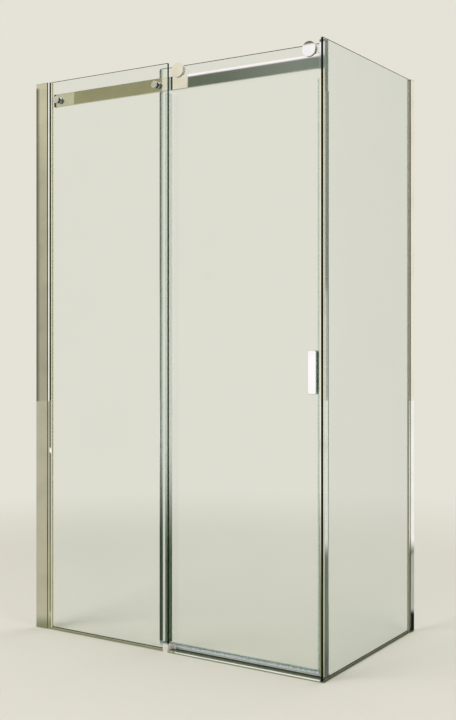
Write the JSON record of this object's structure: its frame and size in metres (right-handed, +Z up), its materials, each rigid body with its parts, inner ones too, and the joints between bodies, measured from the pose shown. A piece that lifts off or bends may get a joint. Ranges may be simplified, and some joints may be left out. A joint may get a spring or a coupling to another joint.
{
  "type": "corner shower enclosure",
  "caption": "Frameless corner shower enclosure in clear glass and polished chrome: a sliding door on a top rail beside a fixed pane, and a fixed side pane.",
  "frame": {"origin": "middle of the footprint at floor level, half way along the front and half way down the side", "axes": "+X runs right along the front to the outer glass corner, +Y runs in from the door to the back wall, +Z is up"},
  "size_m": [1.195, 0.7, 2],
  "materials": {
    "chrome": "polished, mirror bright",
    "bright_profile": "polished, slightly softer than the chrome",
    "clear_glass": "clear toughened glass with polished edges that look dark green",
    "cream_gasket": "soft, satin",
    "dark_gasket": "matt",
    "clear_seal": "clear, slightly milky",
    "magnet_strip": "satin",
    "steel": "turned stainless steel",
    "white_plastic": "smooth moulded"
  },
  "bodies": {
    "frame": {"left_wall_profile": "chrome", "left_glazing_profile": "bright_profile", "left_profile_cap": "chrome", "left_glass_gasket": "cream_gasket", "fixed_glass": "clear_glass", "fixed_bottom_profile": "chrome", "fixed_bottom_gasket": "dark_gasket", "fixed_overlap_seal": "clear_seal", "side_wall_profile": "chrome", "side_glazing_profile": "bright_profile", "side_profile_cap": "chrome", "side_glass_gasket": "cream_gasket", "side_glass": "clear_glass", "side_bottom_profile": "chrome", "side_bottom_gasket": "dark_gasket", "adjusting_screws": "steel", "rail": "chrome", "rail_fixing_caps": "chrome", "rail_fixing_washers": "clear_seal", "rail_fixing_spacers": "chrome", "rail_fixing_bolts": "steel", "rail_fixing_nuts": "chrome", "rail_corner_bracket": "steel", "bracket_screws": "steel", "rail_stop": "steel", "rail_stop_buffer": "dark_gasket", "rail_stop_screw": "steel", "corner_profile": "chrome", "corner_magnet_strip": "magnet_strip", "door_sill": "chrome", "door_guide": "white_plastic", "door_guide_pads": "white_plastic", "door_guide_screws": "steel"},
    "door": {"door_glass": "clear_glass", "door_left_seal": "clear_seal", "door_closing_seal": "clear_seal", "door_magnet_strip": "magnet_strip", "door_bottom_seal": "clear_seal", "wheel_axles": "steel", "axle_clips": "steel", "axle_collars": "steel", "axle_washers": "clear_seal", "axle_sleeves": "clear_seal", "axle_caps": "chrome", "handle_front_plate": "chrome", "handle_back_plate": "chrome", "handle_studs": "steel", "handle_pads": "clear_seal"},
    "left_wheel": {"left_wheel_disc": "chrome", "left_wheel_tyre": "white_plastic", "left_wheel_bearing": "steel"},
    "right_wheel": {"right_wheel_disc": "chrome", "right_wheel_tyre": "white_plastic", "right_wheel_bearing": "steel"}
  },
  "joints": [
    {"name": "door_slide", "type": "slide", "parent": "frame", "child": "door", "axis": [-1, 0, 0], "range_m": [0, 0.514]},
    {"name": "left_wheel_spin", "type": "hinge", "parent": "door", "child": "left_wheel", "pos_m": [0.0275, -0.3245, 1.974], "axis": [0, -1, 0], "range_deg": [0, 1665]},
    {"name": "right_wheel_spin", "type": "hinge", "parent": "door", "child": "right_wheel", "pos_m": [0.5325, -0.3245, 1.974], "axis": [0, -1, 0], "range_deg": [0, 1665]}
  ],
  "couplings": [
    {"joint": "left_wheel_spin", "follows": "door_slide", "rad_per_m": 56.497},
    {"joint": "right_wheel_spin", "follows": "door_slide", "rad_per_m": 56.497}
  ]
}
